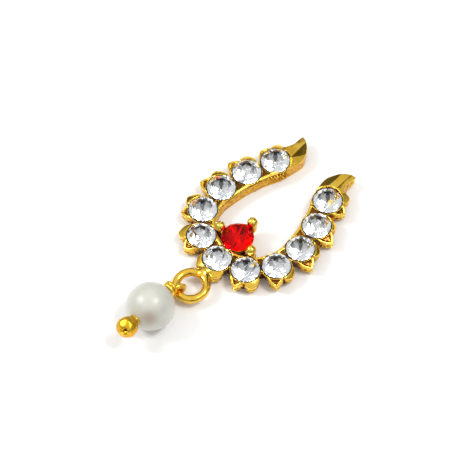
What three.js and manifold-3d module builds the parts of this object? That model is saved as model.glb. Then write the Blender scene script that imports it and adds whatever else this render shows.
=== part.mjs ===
// A gilt nose pin with a pearl drop, lying on its flat back.
//
// One casting carries everything: a horseshoe of cups for round stones, a smooth inner
// wall, two pointed petals on the outside of each cup, a faceted horn at each end, a
// pear-shaped collet with three ball-tipped prongs inside the bend, and a soldered ring
// at the bottom. A head pin hooks into that ring and carries the drilled pearl.
//
// Millimetres. The origin is on the flat back, under the centre of the bottom stone.
// +X points to the right arm, +Y to the mouth between the horns, +Z out of the face.

import * as THREE from "three";
import { mergeVertices } from "three/addons/utils/BufferGeometryUtils.js";
import Module from "manifold-3d";

const wasm = await Module();
wasm.setup();

// Round stones and the row that they stand in
const stonesPerArm = 5;
const stoneDiameter = 2.36;
const stoneSpacing = 0.22;
const stoneTableDiameter = 1.26;
const stoneCrownHeight = 0.44;
const stoneGirdleThickness = 0.06;
const stonePavilionDepth = 0.92;
const girdleHeight = 1.4;
const seatClearance = 0.03;

// The row's centreline: a round bottom, then two arms that lean in towards the mouth
const bottomBendRadius = 4.4;
const bottomBendDegrees = 93.4;
const armBendRadius = 13.6;

// Casting
const cupWall = 0.12;
const cupFootDiameter = 2.0;
const cupHeight = 1.37;
const floorHeight = 1.05;
const floorReach = 0.05;
const innerWall = 0.06;
const innerRimWidth = 0.36;
const innerRimHeight = 1.42;

// Petals round the outside of each cup
const petalSpreadDegrees = 26;
const longPetalReach = 0.56;
const shortPetalReach = 0.34;
const petalHalfWidth = 0.62;
const petalTipHeight = 1.14;
const petalTipUnderside = 0.52;
const petalDishHeight = 1.0;
const petalLean = 0.16;

// Horns
const hornLength = 3.05;
const hornHalfWidth = 1.27;
const hornHeight = 1.6;
const hornTipUnderside = 0.8;

// Pear-shaped stone, its collet and its prongs
const pearWidth = 2.7;
const pearPoint = 1.66;
const pearTableShare = 0.56;
const pearCrownHeight = 0.5;
const pearPavilionDepth = 0.9;
const pearLift = 0.29;
const pearOverlap = 0.09;
const colletHeight = 1.66;
const colletShoulderShare = 0.97;
const colletFootShare = 0.62;
const prongBallDiameter = 0.73;
const prongWire = 0.5;
const prongStandOff = 0.24;
const prongGrip = 0.05;
const prongFootShare = 0.56;

// Ring soldered to the bottom of the casting
const ringInnerDiameter = 1.86;
const ringWire = 0.66;
const ringSideways = 0.02;
const ringHeight = 0.9;
const ringTiltDegrees = 5;
const solderGap = 0.26;
const solderRadius = 0.5;

// Head pin and pearl
const pinWire = 0.42;
const eyeClearance = 0.12;
const eyeLift = 0.09;
const eyeSwingDegrees = 24;
const neckLength = 0.46;
const neckYawDegrees = 15;
const neckPitchDegrees = 43;
const neckWrapWire = 0.42;
const pinYawDegrees = -3;
const pearlDiameter = 4;
const pearlClearance = 0.05;
const pinBallDiameter = 1.77;
const pinCollarLength = 0.04;
const pinCollarDiameter = 0.95;

// Fineness of the round forms
const rowStep = 0.6;
const cupSides = 20;
const facetsRound = 8;
const ringSegments = 24;
const wireSides = 8;
const pinWireSteps = 56;

const stoneRadius = stoneDiameter / 2;
const stonePitch = stoneDiameter + stoneSpacing;
const seatRadius = stoneRadius + seatClearance;
const cupRadius = seatRadius + cupWall;
const innerEdge = seatRadius + innerWall;
const ringMeanRadius = (ringInnerDiameter + ringWire) / 2;
const pearRadius = pearWidth / 2;
const pearCentreY = stoneRadius - pearOverlap + pearRadius;
const pearGirdle = girdleHeight + pearLift;
const pearlRadius = pearlDiameter / 2;
const radians = THREE.MathUtils.degToRad;

// Closed meshes and solids

function solid(geometry) {
  const bare = geometry.clone();
  bare.deleteAttribute("normal");
  bare.deleteAttribute("uv");
  const merged = mergeVertices(bare, 1e-5);
  return new wasm.Manifold(
    new wasm.Mesh({
      numProp: 3,
      vertProperties: new Float32Array(merged.attributes.position.array),
      triVerts: new Uint32Array(merged.index.array),
    }),
  );
}

function geometryOf(body) {
  const mesh = body.getMesh();
  const geometry = new THREE.BufferGeometry();
  geometry.setAttribute("position", new THREE.BufferAttribute(mesh.vertProperties, 3));
  geometry.setIndex(new THREE.BufferAttribute(mesh.triVerts, 1));
  return geometry;
}

function union(bodies) {
  return bodies.reduce((sum, body) => sum.add(body));
}

function geometryFromTriangles(points, triangles) {
  const geometry = new THREE.BufferGeometry();
  geometry.setAttribute("position", new THREE.Float32BufferAttribute(points.flat(), 3));
  geometry.setIndex(triangles.flat());
  return geometry;
}

// A solid between two loops of as many points, with a fan over each end.
function fannedSolid(lower, upper, lowerCentre, upperCentre) {
  const n = lower.length;
  const points = [...lower, ...upper, lowerCentre, upperCentre];
  const triangles = [];
  for (let i = 0; i < n; i++) {
    const j = (i + 1) % n;
    triangles.push([i, j, n + j], [i, n + j, n + i]);
    triangles.push([j, i, 2 * n], [n + i, n + j, 2 * n + 1]);
  }
  return geometryFromTriangles(points, triangles);
}

function extrudedOutline(outline, height) {
  const shape = new THREE.Shape(outline.map(([x, y]) => new THREE.Vector2(x, y)));
  return new THREE.ExtrudeGeometry(shape, { depth: height, bevelEnabled: false });
}

function wireBetween(from, to, diameter) {
  const span = to.clone().sub(from);
  const wire = new THREE.CylinderGeometry(diameter / 2, diameter / 2, span.length(), wireSides);
  wire.applyQuaternion(
    new THREE.Quaternion().setFromUnitVectors(new THREE.Vector3(0, 1, 0), span.clone().normalize()),
  );
  const middle = from.clone().add(to).multiplyScalar(0.5);
  return wire.translate(middle.x, middle.y, middle.z);
}

// The row's centreline

// The point at a distance along the row from the bottom stone, which is negative on the
// left arm, with the outward normal there.
function rowPoint(distance) {
  const side = Math.sign(distance) || 1;
  const run = Math.abs(distance);
  const bend = radians(bottomBendDegrees);
  const bendRun = bottomBendRadius * bend;
  const inBend = Math.min(run, bendRun) / bottomBendRadius;
  const angle = inBend + Math.max(0, run - bendRun) / armBendRadius;
  const x =
    bottomBendRadius * Math.sin(inBend) + armBendRadius * (Math.sin(angle) - Math.sin(inBend));
  const y =
    bottomBendRadius * (1 - Math.cos(inBend)) + armBendRadius * (Math.cos(inBend) - Math.cos(angle));
  return { x: side * x, y, normalX: side * Math.sin(angle), normalY: -Math.cos(angle) };
}

function offsetPoint(distance, offset) {
  const at = rowPoint(distance);
  return [at.x + offset * at.normalX, at.y + offset * at.normalY];
}

const rowEnd = stonesPerArm * stonePitch;
const rowRows = Math.ceil((2 * rowEnd) / rowStep);
const rowDistances = Array.from({ length: rowRows + 1 }, (_, i) => rowEnd * ((2 * i) / rowRows - 1));

// The outline between two offsets from the centreline, over the whole row.
function ribbon(inner, outer) {
  const innerSide = rowDistances.map((distance) => offsetPoint(distance, inner));
  const outerSide = rowDistances.map((distance) => offsetPoint(distance, outer));
  return [...outerSide, ...innerSide.reverse()];
}

const stonePlaces = Array.from({ length: 2 * stonesPerArm + 1 }, (_, i) => {
  const index = i - stonesPerArm;
  return { index, ...rowPoint(index * stonePitch) };
});

// Cut stones

// A brilliant cut over any outline: a table, its star, kite and girdle facets, and a
// pointed pavilion. outline(angle) is the girdle's radius in that direction.
function brilliant({ outline, tableShare, crown, girdle, pavilion }) {
  const turn = (2 * Math.PI) / facetsRound;
  const middleShare = (1 + tableShare) / 2;
  const lowerShare = 0.45;
  const flat = Math.cos(turn / 2);
  const middleHeight = crown * (1 - (middleShare * flat - tableShare) / (1 - tableShare));
  const lowerDepth = -pavilion * (1 - lowerShare * flat);
  const at = (angle, share, z) => {
    const radius = outline(angle) * share;
    return [radius * Math.sin(angle), -radius * Math.cos(angle), z];
  };
  const points = [];
  const ring = (count, offset, share, z) => {
    const first = points.length;
    for (let k = 0; k < count; k++) {
      points.push(at(((k + offset) * 2 * Math.PI) / count, share, z));
    }
    return (k) => first + (((k % count) + count) % count);
  };
  const table = ring(facetsRound, 0, tableShare, crown);
  const middle = ring(facetsRound, 0.5, middleShare, middleHeight);
  const top = ring(2 * facetsRound, 0, 1, 0);
  const bottom = ring(2 * facetsRound, 0, 1, -girdle);
  const lower = ring(facetsRound, 0.5, lowerShare, lowerDepth - girdle);
  const culet = points.push([0, 0, -pavilion - girdle]) - 1;
  const triangles = [];
  for (let k = 0; k < facetsRound; k++) {
    if (k > 0 && k < facetsRound - 1) triangles.push([table(0), table(k), table(k + 1)]);
    triangles.push([table(k), middle(k), table(k + 1)]);
    triangles.push([table(k), middle(k - 1), top(2 * k)], [table(k), top(2 * k), middle(k)]);
    triangles.push([middle(k), top(2 * k), top(2 * k + 1)]);
    triangles.push([middle(k), top(2 * k + 1), top(2 * k + 2)]);
    triangles.push([lower(k), bottom(2 * k + 1), bottom(2 * k)]);
    triangles.push([lower(k), bottom(2 * k + 2), bottom(2 * k + 1)]);
    triangles.push([culet, bottom(2 * k), lower(k - 1)], [culet, lower(k), bottom(2 * k)]);
  }
  for (let k = 0; k < 2 * facetsRound; k++) {
    triangles.push([top(k), bottom(k), bottom(k + 1)], [top(k), bottom(k + 1), top(k + 1)]);
  }
  return geometryFromTriangles(points, triangles);
}

function roundStone() {
  return brilliant({
    outline: () => stoneRadius,
    tableShare: stoneTableDiameter / stoneDiameter,
    crown: stoneCrownHeight,
    girdle: stoneGirdleThickness,
    pavilion: stonePavilionDepth,
  });
}

// Radius of the pear outline at an angle from its round end, with its point at half a
// turn: a circle whose two tangents run together at the point.
function pearOutline(angle) {
  const fromPoint = Math.abs(Math.atan2(Math.sin(angle - Math.PI), Math.cos(angle - Math.PI)));
  const tangentAngle = Math.acos(pearRadius / pearPoint);
  if (fromPoint >= tangentAngle) return pearRadius;
  return pearRadius / Math.cos(tangentAngle - fromPoint);
}

function pearStone() {
  return brilliant({
    outline: pearOutline,
    tableShare: pearTableShare,
    crown: pearCrownHeight,
    girdle: stoneGirdleThickness,
    pavilion: pearPavilionDepth,
  });
}

// Casting

function cup({ x, y }) {
  const wall = new THREE.CylinderGeometry(cupRadius, cupFootDiameter / 2, cupHeight, cupSides);
  return wall.rotateX(Math.PI / 2).translate(x, y, cupHeight / 2);
}

// The hollow that a round stone drops into: a cone for its pavilion under a round bore.
function seat({ x, y }) {
  const girdleBottom = girdleHeight - stoneGirdleThickness;
  const tip = girdleBottom - stonePavilionDepth - seatClearance;
  const above = girdleHeight + stoneCrownHeight + cupWall;
  const profile = [
    [0, tip],
    [seatRadius, girdleBottom - seatClearance / 2],
    [seatRadius, above],
    [0, above],
  ].map(([radius, z]) => new THREE.Vector2(radius, z));
  return new THREE.LatheGeometry(profile, cupSides).rotateX(Math.PI / 2).translate(x, y, 0);
}

// Half of a petal's outline: how far out along it, from the cup's rim to its tip, how wide,
// and how high its edge stands between its tip and the cup's rim.
const petalOutline = [
  { out: -0.75, width: 0.75, height: 0.9 },
  { out: -0.3, width: 1, height: 0.85 },
  { out: 0.15, width: 0.66, height: 0.5 },
  { out: 0.6, width: 0.28, height: 0.2 },
];

// A dished petal that points away from a cup's centre at an angle from the outward normal.
// Its underside rises from the cup's foot to its tip.
function petal(stone, spread, reach, towardsBottom) {
  const normal = new THREE.Vector2(stone.normalX, stone.normalY);
  const along = normal.clone().rotateAround(new THREE.Vector2(), spread);
  const across = new THREE.Vector2(-along.y, along.x);
  const footRadius = cupFootDiameter / 2;
  const tipRadius = cupRadius + reach;
  const place = (out, width, z) => {
    const radius = cupRadius + out * reach;
    const sideways = width * petalHalfWidth + Math.max(0, out) * petalLean * towardsBottom;
    const underside = (petalTipUnderside * (radius - footRadius)) / (tipRadius - footRadius);
    return [
      stone.x + along.x * radius + across.x * sideways,
      stone.y + along.y * radius + across.y * sideways,
      z ?? Math.max(0, underside),
    ];
  };
  const edge = (height) => petalTipHeight + height * (cupHeight - petalTipHeight);
  const right = petalOutline.map(({ out, width, height }) => [out, -width, edge(height)]);
  const left = petalOutline.map(({ out, width, height }) => [out, width, edge(height)]).reverse();
  const loop = [...right, [1, 0, edge(0)], ...left];
  return fannedSolid(
    loop.map(([out, width]) => place(out, width)),
    loop.map(([out, width, z]) => place(out, width, z)),
    place(0, 0),
    place(0.1, 0, petalDishHeight),
  );
}

function petals() {
  return stonePlaces.flatMap((stone) => {
    const spread = radians(petalSpreadDegrees);
    const arm = Math.sign(stone.index) || 1;
    const upperReach = stone.index === 0 ? longPetalReach : shortPetalReach;
    return [
      solid(petal(stone, -arm * spread, longPetalReach, -arm)),
      solid(petal(stone, arm * spread, upperReach, -arm)),
    ];
  });
}

// A horn's corners, from the end stone's centre: along the row and outward from it, as
// shares of the horn's length and half-width, with heights as shares of the horn's and
// undersides as shares of its tip's.
const hornCorners = {
  rootInside: { along: -0.04, out: -1.0, height: 0.86, under: 0 },
  bellyLow: { along: 0.42, out: -0.74, height: 0.85, under: 0 },
  bellyHigh: { along: 0.7, out: -0.52, height: 0.84, under: 0 },
  shoulder: { along: 0.86, out: -0.1, height: 0.82, under: 0.3 },
  cheek: { along: 0.96, out: 0.4, height: 0.79, under: 0.8 },
  crest: { along: 1.0, out: 0.9, height: 0.76, under: 1 },
  tip: { along: 0.99, out: 1.26, height: 0.76, under: 1 },
  tipOutside: { along: 0.88, out: 1.2, height: 0.68, under: 0.8 },
  waist: { along: 0.57, out: 0.82, height: 0.66, under: 0.2 },
  rootOutside: { along: -0.02, out: 0.84, height: 0.7, under: 0 },
  innerRidge: { along: 0.42, out: -0.2, height: 1.0, under: 0 },
  outerRidge: { along: 0.41, out: 0.1, height: 1.02, under: 0 },
};

const hornOutline = [
  "rootInside",
  "bellyLow",
  "bellyHigh",
  "shoulder",
  "cheek",
  "crest",
  "tip",
  "tipOutside",
  "waist",
  "rootOutside",
];

// The flats on top of a horn: one inside its inner ridge, one between the ridges, one
// outside the outer ridge, and one at the root, inside the end stone's cup.
const hornFlats = [
  ["innerRidge", "rootInside", "bellyLow", "bellyHigh", "shoulder"],
  ["innerRidge", "shoulder", "cheek", "crest", "tip", "outerRidge"],
  ["outerRidge", "tip", "tipOutside", "waist", "rootOutside"],
  ["innerRidge", "outerRidge", "rootOutside", "rootInside"],
];

function horn(arm) {
  const end = rowPoint(arm * rowEnd);
  const alongX = -arm * end.normalY;
  const alongY = arm * end.normalX;
  const place = ({ along, out }, z) => [
    end.x + alongX * along * hornLength + end.normalX * out * hornHalfWidth,
    end.y + alongY * along * hornLength + end.normalY * out * hornHalfWidth,
    z,
  ];
  const names = Object.keys(hornCorners);
  const n = hornOutline.length;
  const foot = names.length + n;
  const points = [
    ...names.map((name) => place(hornCorners[name], hornCorners[name].height * hornHeight)),
    ...hornOutline.map((name) => place(hornCorners[name], hornCorners[name].under * hornTipUnderside)),
    place({ along: 0.4, out: 0 }, 0),
  ];
  const top = (name) => names.indexOf(name);
  const triangles = hornFlats.flatMap((flat) =>
    flat.slice(2).map((name, i) => [top(flat[0]), top(flat[i + 1]), top(name)]),
  );
  for (let i = 0; i < n; i++) {
    const j = (i + 1) % n;
    const [a, b] = [top(hornOutline[i]), top(hornOutline[j])];
    const [c, d] = [names.length + i, names.length + j];
    triangles.push([c, d, b], [c, b, a], [foot, d, c]);
  }
  const facing = arm > 0 ? triangles.map(([a, b, c]) => [a, c, b]) : triangles;
  return solid(geometryFromTriangles(points, facing));
}

function pearLoop(share, z, clearance = 0) {
  const sides = 4 * facetsRound;
  return Array.from({ length: sides }, (_, k) => {
    const angle = (k * 2 * Math.PI) / sides;
    const radius = pearOutline(angle) * share + clearance;
    return [radius * Math.sin(angle), pearCentreY - radius * Math.cos(angle), z];
  });
}

function collet() {
  return solid(
    fannedSolid(
      pearLoop(colletFootShare, 0),
      pearLoop(colletShoulderShare, colletHeight),
      [0, pearCentreY, 0],
      [0, pearCentreY, colletHeight],
    ),
  );
}

// The pear stone's own shape with the clearance round it.
function pearSeat() {
  const hollow = brilliant({
    outline: (angle) => pearOutline(angle) + seatClearance,
    tableShare: pearTableShare,
    crown: pearCrownHeight + seatClearance,
    girdle: stoneGirdleThickness + 2 * seatClearance,
    pavilion: pearPavilionDepth + seatClearance,
  });
  return solid(hollow.translate(0, pearCentreY, pearGirdle + seatClearance));
}

// A prong rises from the collet's foot, bows out beside the pear stone and ends in a ball
// over its edge. edge is the stone's reach in the prong's direction.
function prong(edge, outX, outY) {
  const ballAt = edge + prongBallDiameter / 2 - prongGrip;
  const point = (reach, z) => new THREE.Vector3(outX * reach, pearCentreY + outY * reach, z);
  const foot = point(ballAt * prongFootShare, 0);
  const elbow = point(ballAt + prongStandOff, pearGirdle - prongBallDiameter / 2);
  const head = point(ballAt, pearGirdle + prongBallDiameter / 4);
  const ball = new THREE.SphereGeometry(prongBallDiameter / 2, 12, 8);
  return union([
    solid(wireBetween(foot, elbow, prongWire)),
    solid(new THREE.SphereGeometry(prongWire / 2, wireSides, 6).translate(elbow.x, elbow.y, elbow.z)),
    solid(wireBetween(elbow, head, prongWire)),
    solid(ball.translate(head.x, head.y, head.z)),
  ]);
}

function prongs() {
  return [prong(pearRadius, 1, 0), prong(pearRadius, -1, 0), prong(pearPoint, 0, 1)];
}

const ringCentre = new THREE.Vector3(
  ringSideways,
  -(cupRadius + solderGap + ringMeanRadius + ringWire / 2),
  ringHeight,
);

// The ring's own frame: its plane drops away from the casting by ringTiltDegrees.
const ringAway = new THREE.Vector3(
  0,
  -Math.cos(radians(ringTiltDegrees)),
  -Math.sin(radians(ringTiltDegrees)),
);

function ring() {
  const torus = new THREE.TorusGeometry(ringMeanRadius, ringWire / 2, wireSides, ringSegments);
  torus.rotateX(radians(ringTiltDegrees)).translate(ringCentre.x, ringCentre.y, ringCentre.z);
  const solder = new THREE.SphereGeometry(solderRadius, 16, 10);
  const root = ringCentre.clone().addScaledVector(ringAway, -ringMeanRadius - ringWire / 2);
  return [solid(torus), solid(solder.translate(root.x, root.y, root.z))];
}

function casting() {
  const inside = rowDistances.map((distance) => offsetPoint(distance, -innerEdge));
  const innerVoid = solid(extrudedOutline(inside, cupHeight + hornHeight).translate(0, 0, -cupHeight / 2));
  const row = union([
    solid(extrudedOutline(ribbon(-innerEdge, floorReach), floorHeight)),
    solid(extrudedOutline(ribbon(-innerEdge, innerRimWidth - innerEdge), innerRimHeight)),
    ...stonePlaces.map((stone) => solid(cup(stone))),
    ...petals(),
    horn(1),
    horn(-1),
  ]).subtract(innerVoid);
  const block = new THREE.BoxGeometry(4 * cupRadius, 8 * cupRadius, cupRadius);
  const underBack = solid(block.translate(0, pearCentreY, -cupRadius / 2));
  const withFindings = union([row, collet(), ...prongs(), ...ring()]).subtract(underBack);
  const seats = [...stonePlaces.map((stone) => solid(seat(stone))), pearSeat()];
  return geometryOf(withFindings.subtract(union(seats)));
}

// Head pin and pearl

const eyeRadius = ringWire / 2 + eyeClearance + pinWire / 2;

// A direction in the plan that turns from -Y towards -X, with a rise.
function heading(yawDegrees, pitchDegrees) {
  const yaw = radians(yawDegrees);
  const pitch = radians(pitchDegrees);
  return new THREE.Vector3(
    -Math.sin(yaw) * Math.cos(pitch),
    -Math.cos(yaw) * Math.cos(pitch),
    Math.sin(pitch),
  );
}

const eyeCentre = ringCentre
  .clone()
  .addScaledVector(ringAway, ringMeanRadius * Math.cos(radians(eyeSwingDegrees)))
  .add(new THREE.Vector3(-ringMeanRadius * Math.sin(radians(eyeSwingDegrees)), 0, eyeLift));
const neckDirection = heading(neckYawDegrees, neckPitchDegrees);
const neck = eyeCentre.clone().addScaledVector(neckDirection, eyeRadius + neckLength);

// The pearl stands on the surface under the part, so the pin's slope follows from its size.
const neckToPearl = pearlRadius + pearlClearance + neckWrapWire / 2;
const pinRise = (pearlRadius - neck.z) / neckToPearl;
const pinDirection = heading(pinYawDegrees, THREE.MathUtils.radToDeg(Math.asin(pinRise)));
const pearlCentre = neck.clone().addScaledVector(pinDirection, neckToPearl);
const pinBallCentre = pearlCentre
  .clone()
  .addScaledVector(pinDirection, pearlRadius + pearlClearance + pinCollarLength + pinBallDiameter / 2);
const acrossPin = new THREE.Quaternion().setFromUnitVectors(new THREE.Vector3(0, 0, 1), pinDirection);

// The pin's wire: straight from its ball through the pearl to the neck, then round the eye,
// which is a circle round the ring's wire with its two tangents to the neck.
function pinWirePath() {
  const ringTangent = new THREE.Vector3().crossVectors(
    new THREE.Vector3(0, 0, 1),
    eyeCentre.clone().sub(ringCentre).normalize(),
  );
  const normal = ringTangent.addScaledVector(neckDirection, -ringTangent.dot(neckDirection)).normalize();
  const across = new THREE.Vector3().crossVectors(normal, neckDirection);
  const leaves = Math.acos(eyeRadius / (eyeRadius + neckLength));
  const arrives = 2 * Math.PI - leaves;
  const arcs = 12;
  const onCircle = Array.from({ length: arcs + 1 }, (_, i) => {
    const angle = leaves + ((arrives - leaves) * i) / arcs;
    return eyeCentre
      .clone()
      .addScaledVector(neckDirection, eyeRadius * Math.cos(angle))
      .addScaledVector(across, eyeRadius * Math.sin(angle));
  });
  const onPin = [-1, -0.5, 0, 0.5, 1].map((share) =>
    pearlCentre.clone().addScaledVector(pinDirection, -share * pearlRadius),
  );
  const closing = neck.clone().lerp(onCircle.at(-1), 0.3);
  return new THREE.CatmullRomCurve3([pinBallCentre, ...onPin, neck, ...onCircle, closing]);
}

function headPin() {
  const circle = new THREE.Path().absarc(0, 0, pinWire / 2, 0, 2 * Math.PI).getPoints(wireSides);
  const wire = new THREE.ExtrudeGeometry(new THREE.Shape(circle.slice(0, wireSides)), {
    extrudePath: pinWirePath(),
    steps: pinWireSteps,
    bevelEnabled: false,
  });
  const wrapRadius = pinWire / 2 + 0.4 * neckWrapWire;
  const wrap = new THREE.TorusGeometry(wrapRadius, neckWrapWire / 2, 8, 16);
  wrap.applyQuaternion(acrossPin).translate(neck.x, neck.y, neck.z);
  const collarStart = pearlCentre.clone().addScaledVector(pinDirection, pearlRadius + pearlClearance);
  const ball = new THREE.SphereGeometry(pinBallDiameter / 2, 16, 12);
  return geometryOf(
    union([
      solid(wire),
      solid(wrap),
      solid(wireBetween(collarStart, pinBallCentre, pinCollarDiameter)),
      solid(ball.translate(pinBallCentre.x, pinBallCentre.y, pinBallCentre.z)),
    ]),
  );
}

// A sphere drilled for the pin, turned as one closed profile.
function pearl() {
  const boreRadius = pinWire / 2 + pearlClearance;
  const mouth = Math.asin(boreRadius / pearlRadius);
  const rings = 14;
  const profile = Array.from({ length: rings + 1 }, (_, i) => {
    const angle = mouth + ((Math.PI - 2 * mouth) * i) / rings;
    return new THREE.Vector2(pearlRadius * Math.sin(angle), -pearlRadius * Math.cos(angle));
  });
  profile.push(profile[0].clone());
  const bead = new THREE.LatheGeometry(profile, ringSegments).rotateX(Math.PI / 2);
  return bead.applyQuaternion(acrossPin).translate(pearlCentre.x, pearlCentre.y, pearlCentre.z);
}

// The assembly

const gold = new THREE.MeshStandardMaterial({ color: 0xe2a822, roughness: 0.22, metalness: 1 });
const crystal = new THREE.MeshStandardMaterial({ color: 0xe9edf0, roughness: 0.04, metalness: 0 });
const ruby = new THREE.MeshStandardMaterial({ color: 0xd3100f, roughness: 0.05, metalness: 0 });
const nacre = new THREE.MeshStandardMaterial({ color: 0xdfe0d8, roughness: 0.28, metalness: 0 });

function part(name, geometry, material) {
  const mesh = new THREE.Mesh(geometry, material);
  mesh.name = name;
  return mesh;
}

const nosePin = new THREE.Group();
nosePin.add(part("crescent_setting", casting(), gold));
stonePlaces.forEach((stone, i) => {
  const mesh = part(`round_stone_${String(i + 1).padStart(2, "0")}`, roundStone(), crystal);
  mesh.position.set(stone.x, stone.y, girdleHeight);
  nosePin.add(mesh);
});
const pear = part("pear_stone", pearStone(), ruby);
pear.position.set(0, pearCentreY, pearGirdle);
nosePin.add(pear);
nosePin.add(part("head_pin", headPin(), gold));
nosePin.add(part("pearl", pearl(), nacre));

export default nosePin;
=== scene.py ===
"""Looks of the gilt nose pin: its casting, cut stones, pearl and wire, and the light on it.

The casting and the head pin are carved as distance fields, in millimetres, and meshed with
OpenVDB. The stones are cut facet by facet, and the pearl is turned. Lengths below are in
millimetres unless a name says otherwise.
"""

import math

import bpy
import numpy as np
import openvdb
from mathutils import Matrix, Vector


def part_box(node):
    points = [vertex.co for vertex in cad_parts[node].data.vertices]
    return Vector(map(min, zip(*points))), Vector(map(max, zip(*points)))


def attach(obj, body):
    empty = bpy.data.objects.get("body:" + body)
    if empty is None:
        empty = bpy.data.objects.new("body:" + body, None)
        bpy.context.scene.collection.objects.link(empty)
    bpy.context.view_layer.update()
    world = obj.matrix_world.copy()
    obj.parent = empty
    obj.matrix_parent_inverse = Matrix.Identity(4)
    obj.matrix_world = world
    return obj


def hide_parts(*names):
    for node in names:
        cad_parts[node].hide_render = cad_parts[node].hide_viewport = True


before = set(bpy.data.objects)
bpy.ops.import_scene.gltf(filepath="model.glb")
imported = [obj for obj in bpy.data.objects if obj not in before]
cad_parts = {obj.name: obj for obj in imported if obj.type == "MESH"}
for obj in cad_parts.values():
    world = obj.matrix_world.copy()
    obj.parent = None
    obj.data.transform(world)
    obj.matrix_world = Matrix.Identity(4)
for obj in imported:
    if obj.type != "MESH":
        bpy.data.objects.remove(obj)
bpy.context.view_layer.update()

MM = 0.001

# The photo's view: its scale, the camera's angle and the point in its middle
photo_pixels = 474
pixels_per_mm = 12.3
view_azimuth = 42.5
view_elevation = 57.5
view_distance = 1000
view_centre = Vector((-0.77, 3.21, 0))
sensor_width = 36

# The row of round stones: a round bottom, then two arms that lean in
bend_radius = 4.4
bend_angle = math.radians(93.4)
arm_radius = 13.6
stones_per_arm = 5

# Cut stones: heights above and below the girdle, and the table's share of the width
stone_crown_height = 0.44
stone_pavilion_depth = 0.92
stone_table_share = 0.54
pear_crown_height = 0.5
pear_table_share = 0.56
girdle_thickness = 0.06

# Casting
cup_radius = 1.32
cup_foot_radius = 1.0
cup_height = 1.35
bore_radius = 1.235
bore_floor = 1.3
seat_tip = 0.36
inner_edge = 1.25
floor_height = 1.2
floor_reach = 0.05
band_overrun = 0.1
rim_width = 0.26
rim_height = 1.4
rim_rounding = 0.09
horn_length = 3.05
horn_half_width = 1.27
horn_root_height = 1.6
horn_tip_underside = 0.8
horn_rise_start = 0.68

# Texture of the casting's side walls, with a line below the rim and grains near the horns
coarse_depth = 0.022
fine_depth = 0.012
soft_depth = 0.007
grain_depth = 0.12
grain_length = 0.28
grain_height = 0.5
grain_row_height = 0.95
rim_line_depth = 0.18
rim_line_width = 0.09
rim_line_drop = 0.3

# Petals, in two layers with a groove between them. The upper one of a pointed petal is hollow.
petal_tip_height = 1.04
petal_layer_line = 0.56
petal_layer_groove = 0.2
petal_groove_width = 0.12
petal_groove_rise = 0.12
petal_undercut = 0.3
petal_edge_width = 0.22
petal_hollow = 0.24

# Each cup has a pointed petal on the side of the row's bottom and a round leaf on the other.
# A kind of petal is the turn of its tip from straight outwards, the turns that its two flanks
# cover, in degrees, and the power that bends the flanks.
petal_kinds = {"pointed": (-24, 42, 26, 1.0), "leaf": (28, 24, 40, 0.5)}

# How far each kind reaches past its cup, on the stones of each arm from the bottom one on. The
# bottom stone has a leaf on both sides.
petal_reaches = {
    "left": {"pointed": [0.5, 0.5, 0.6, 0.54, 0.36], "leaf": [0.6, 0.54, 0.56, 0.42, 0.46]},
    "right": {"pointed": [0.48, 0.56, 0.72, 0.74, 0.52], "leaf": [0.46, 0.3, 0.34, 0.3, 0.54]},
}
bottom_leaf_reach = 0.5

# Red stone, its collet and its prongs
pear_point_share = 1.66 / 1.35
pear_clearance = 0.04
collet_shoulder_share = 0.97
collet_foot_share = 0.62
prong_ball_radius = 0.44
prong_wire_radius = 0.24
prong_stand_off = 0.24
side_prong_grip = 0.1
point_prong_grip = 0.3
side_prong_drop = 0.25
prong_foot_share = 0.56

# Soldered ring, and its lumps of solder: an offset from the ring's root, a radius and a blend
ring_mean_radius = 1.26
ring_wire_radius = 0.35
ring_tilt = math.radians(5)
ring_centre = Vector((0.02, -3.18, 0.9))
solder_lumps = [
    ((0, 0, 0), 0.46, 0.16),
    ((0.5, -0.12, -0.02), 0.3, 0.16),
    ((-0.46, -0.08, -0.06), 0.28, 0.16),
    ((0.12, 0.32, 0.1), 0.3, 0.12),
]

# Pearl and head pin
pearl_radius = 2.0
pin_radius = 0.21
pin_yaw = math.radians(-3)
neck_length = 0.26
eye_radius = 0.66
eye_swing = math.radians(24)
eye_lift = 0.09
wrap_turns = 2
wrap_radius = 0.46
wrap_wire_radius = 0.17
pin_ball_radius = 0.885
pin_ball_gap = 0.09
pin_flats = 12
pin_flat_share = 0.92
pin_flare_radius = 0.52
pin_dent_radius = 0.58
pin_dent_reach = 1.4

# Meshing: the grid's steps, the most triangles of a piece, and how far round a point of the
# surface its recess is judged
voxel = 0.045
pin_voxel = 0.03
most_triangles = 190000
recess_reach = 0.22

# Studio. The lights are soft squares, and their power is in watts.
floor_half_width = 600
light_distance = 260
light_size = 76
light_power = 0.27

# The room that the gilt and the stones mirror: its brightness at heights above the floor, as
# sines of the elevation, then soft darker patches, each with its azimuth, elevation and
# half-width in degrees and its brightness.
room_heights = [(-0.1, 0.05), (0.1, 0.06), (0.3, 0.42), (0.6, 0.8), (1.0, 0.9)]
room_patches = [
    (view_azimuth, 26, 12, 0.1),
    (-180, 40, 14, 0.08),
    (-128, 14, 11, 0.1),
    (140, 50, 12, 0.5),
]


def box_mm(node):
    """A node's lowest and highest corners, in millimetres."""
    low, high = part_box(node)
    return Vector(low) / MM, Vector(high) / MM


def stone_places():
    """Each round stone's centre, radius and top, from the left arm's end to the right arm's."""
    places = []
    for number in range(1, 2 * stones_per_arm + 2):
        low, high = box_mm(f"round_stone_{number:02d}")
        places.append(((low + high) / 2, (high - low).x / 2, high.z))
    return places


def direction(azimuth, elevation):
    """From the object towards an azimuth round it and an elevation above the floor, in degrees."""
    turn = math.radians(azimuth)
    rise = math.radians(elevation)
    flat = math.cos(rise)
    return Vector((math.sin(turn) * flat, -math.cos(turn) * flat, math.sin(rise)))


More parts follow.
